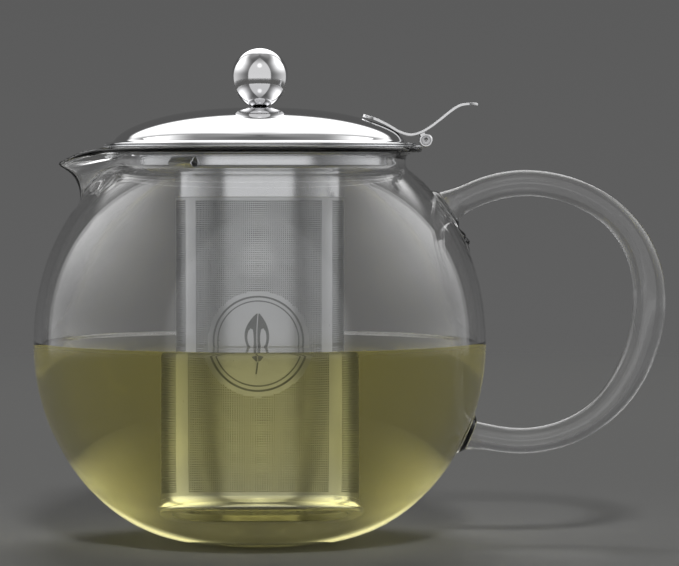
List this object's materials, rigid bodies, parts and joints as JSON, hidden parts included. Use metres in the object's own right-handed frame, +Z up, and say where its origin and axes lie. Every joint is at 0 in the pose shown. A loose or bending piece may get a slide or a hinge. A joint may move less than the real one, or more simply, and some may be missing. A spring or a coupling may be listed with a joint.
{
  "type": "teapot with infuser",
  "caption": "Round glass teapot with an ear handle and pulled spout, holding a lift-out perforated steel infuser under a hinged steel lid with a thumb lever and ball knob.",
  "frame": {"origin": "centre of the flat base on the pot's axis", "axes": "+Z up along the pot's axis, +X towards the handle, spout towards -X"},
  "size_m": [0.2097, 0.15, 0.1638],
  "materials": {
    "clear_glass": "clear blown borosilicate glass",
    "satin_steel": "fine satin",
    "etched_steel": "photo-etched sheet, satin",
    "polished_steel": "mirror polished",
    "pin_steel": "turned steel",
    "tea": "clear green tea, contents shown in the visual model only"
  },
  "bodies": {
    "pot": {"glass_body": "clear_glass", "handle": "clear_glass", "handle_upper_pad": "clear_glass", "handle_lower_pad": "clear_glass"},
    "infuser": {"infuser_collar": "satin_steel", "locating_lug_front": "satin_steel", "locating_lug_back": "satin_steel", "locating_lug_hinge": "satin_steel", "hinge_leaf": "satin_steel", "hinge_pin": "pin_steel", "basket_top_band": "satin_steel", "basket_wall": "etched_steel", "basket_base_ring": "etched_steel", "basket_floor": "etched_steel"},
    "lid": {"lid_dome": "polished_steel", "lid_lever": "polished_steel", "knob_ball": "polished_steel", "knob_washer": "pin_steel", "knob_screw": "pin_steel"}
  },
  "joints": [
    {"name": "infuser_lift", "type": "slide", "parent": "pot", "child": "infuser", "axis": [0, 0, 1], "range_m": [0, 0.125]},
    {"name": "lid_hinge", "type": "hinge", "parent": "infuser", "child": "lid", "pos_m": [0.0549, 0, 0.1331], "axis": [0, 1, 0], "range_deg": [0, 60]}
  ]
}
